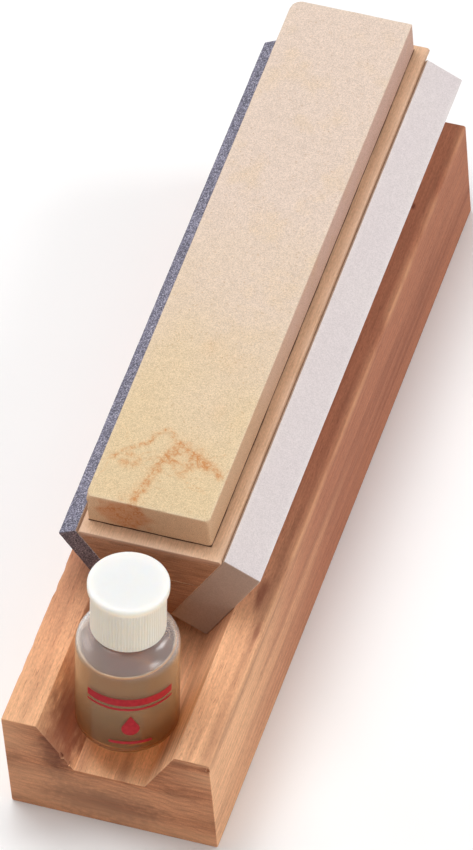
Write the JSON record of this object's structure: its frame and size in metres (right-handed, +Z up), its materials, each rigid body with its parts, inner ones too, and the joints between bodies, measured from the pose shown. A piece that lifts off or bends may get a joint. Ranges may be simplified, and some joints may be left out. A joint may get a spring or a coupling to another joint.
{
  "type": "three-sided sharpening stone set",
  "caption": "Three bench stones bonded to a triangular wooden core, lying in a trough cut along a wooden cradle, with a screw-capped bottle of honing oil in the trough's free end.",
  "frame": {"origin": "centre of the cradle's flat underside", "axes": "+Z up, +Y along the trough from the bottle towards the far end of the stone block, +X across the cradle to the right as seen from the bottle's end"},
  "size_m": [0.065, 0.2634, 0.0904],
  "materials": {
    "cradle_wood": "planed softwood, oiled",
    "core_wood": "planed softwood",
    "cream_stone": "honed natural stone with rust veins",
    "white_stone": "fine natural stone, lapped",
    "grey_stone": "coarse bonded abrasive",
    "adhesive": "dark adhesive",
    "bottle_plastic": "translucent natural polyethylene",
    "oil": "pale amber mineral oil",
    "white_plastic": "moulded polypropylene",
    "liner_foam": "foamed polyethylene",
    "red_print": "screen-printed ink"
  },
  "bodies": {
    "cradle": {"cradle": "cradle_wood"},
    "stone_block": {"stone_core": "core_wood", "top_stone": "cream_stone", "right_stone": "white_stone", "left_stone": "grey_stone", "top_adhesive": "adhesive", "right_adhesive": "adhesive", "left_adhesive": "adhesive"},
    "bottle": {"bottle": "bottle_plastic", "honing_oil": "oil", "orifice_plug": "white_plastic", "printed_mark": "red_print"},
    "cap_liner": {"cap_liner": "liner_foam"},
    "cap": {"screw_cap": "white_plastic"}
  },
  "joints": [
    {"name": "block_lift", "type": "slide", "parent": "cradle", "child": "stone_block", "axis": [0, 0, 1], "range_m": [0, 0.08]},
    {"name": "bottle_lift", "type": "slide", "parent": "cradle", "child": "bottle", "axis": [0, 0, 1], "range_m": [0, 0.08]},
    {"name": "cap_rise", "type": "slide", "parent": "bottle", "child": "cap_liner", "axis": [0.0433, 0.1132, 0.9926], "range_m": [0, 0.0064]},
    {"name": "cap_turn", "type": "hinge", "parent": "cap_liner", "child": "cap", "pos_m": [0, -0.1087, 0.0295], "axis": [0.0433, 0.1132, 0.9926], "range_deg": [0, 720]}
  ],
  "couplings": [
    {"joint": "cap_rise", "follows": "cap_turn", "m_per_rad": 0.00050532}
  ]
}
